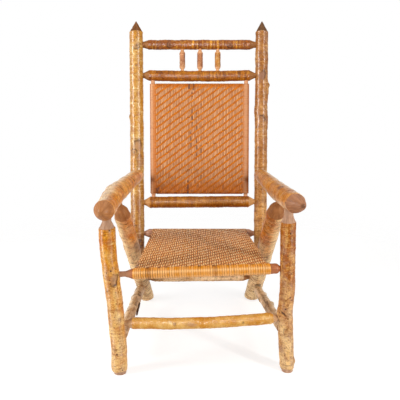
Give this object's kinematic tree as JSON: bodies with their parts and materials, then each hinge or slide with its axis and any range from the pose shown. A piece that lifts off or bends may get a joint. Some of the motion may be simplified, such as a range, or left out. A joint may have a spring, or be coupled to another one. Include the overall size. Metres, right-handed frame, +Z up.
{
  "type": "rustic armchair",
  "caption": "Rustic armchair of bark-covered birch poles with a leaning back, raked rear legs, whittled pole ends, and a woven cane seat and back panel.",
  "frame": {"origin": "middle of the overall footprint on the floor", "axes": "+Z up, -Y to the front, where the sitter faces, and +X to the right as seen from the front"},
  "size_m": [0.6494, 0.7732, 1.1703],
  "materials": {
    "bark": "golden birch bark with dark bands, varnished",
    "bare_wood": "whittled wood without bark, stained and varnished",
    "cane": "split cane in a twill weave, varnished",
    "iron": "dull dark nail heads set flush"
  },
  "bodies": {
    "root": {"crest_rail": "bark", "upper_back_rail": "bark", "lower_back_rail": "bark", "spindle_left": "bark", "spindle_centre": "bark", "spindle_right": "bark", "front_stretcher": "bark", "rear_stretcher": "bark", "back_post_left": "bark", "back_post_right": "bark", "front_post_left": "bark", "front_post_right": "bark", "rear_leg_left": "bark", "rear_leg_right": "bark", "arm_left": "bark", "arm_right": "bark", "panel_stile_left": "bark", "panel_stile_right": "bark", "side_stretcher_left": "bark", "side_stretcher_right": "bark", "panel_top_rung": "bare_wood", "panel_bottom_rung": "bare_wood", "seat_front_rung": "bare_wood", "seat_rear_rung": "bare_wood", "seat_side_rung_left": "bare_wood", "seat_side_rung_right": "bare_wood", "back_weave": "cane", "seat_weave": "cane", "nail_crest_rail_left": "iron", "nail_crest_rail_right": "iron", "nail_upper_back_rail_left": "iron", "nail_upper_back_rail_right": "iron", "nail_lower_back_rail_left": "iron", "nail_lower_back_rail_right": "iron", "nail_front_stretcher_left": "iron", "nail_front_stretcher_right": "iron", "nail_rear_stretcher_left": "iron", "nail_rear_stretcher_right": "iron", "nail_seat_front_left": "iron", "nail_seat_front_right": "iron", "nail_seat_rear_left": "iron", "nail_seat_rear_right": "iron", "nail_arm_left_front": "iron", "nail_arm_left_middle": "iron", "nail_arm_left_rear": "iron", "nail_arm_right_front": "iron", "nail_arm_right_middle": "iron", "nail_arm_right_rear": "iron", "nail_back_post_left_foot": "iron", "nail_back_post_right_foot": "iron", "nail_side_stretcher_left_front": "iron", "nail_side_stretcher_left_rear": "iron", "nail_side_stretcher_right_front": "iron", "nail_side_stretcher_right_rear": "iron"}
  },
  "joints": []
}
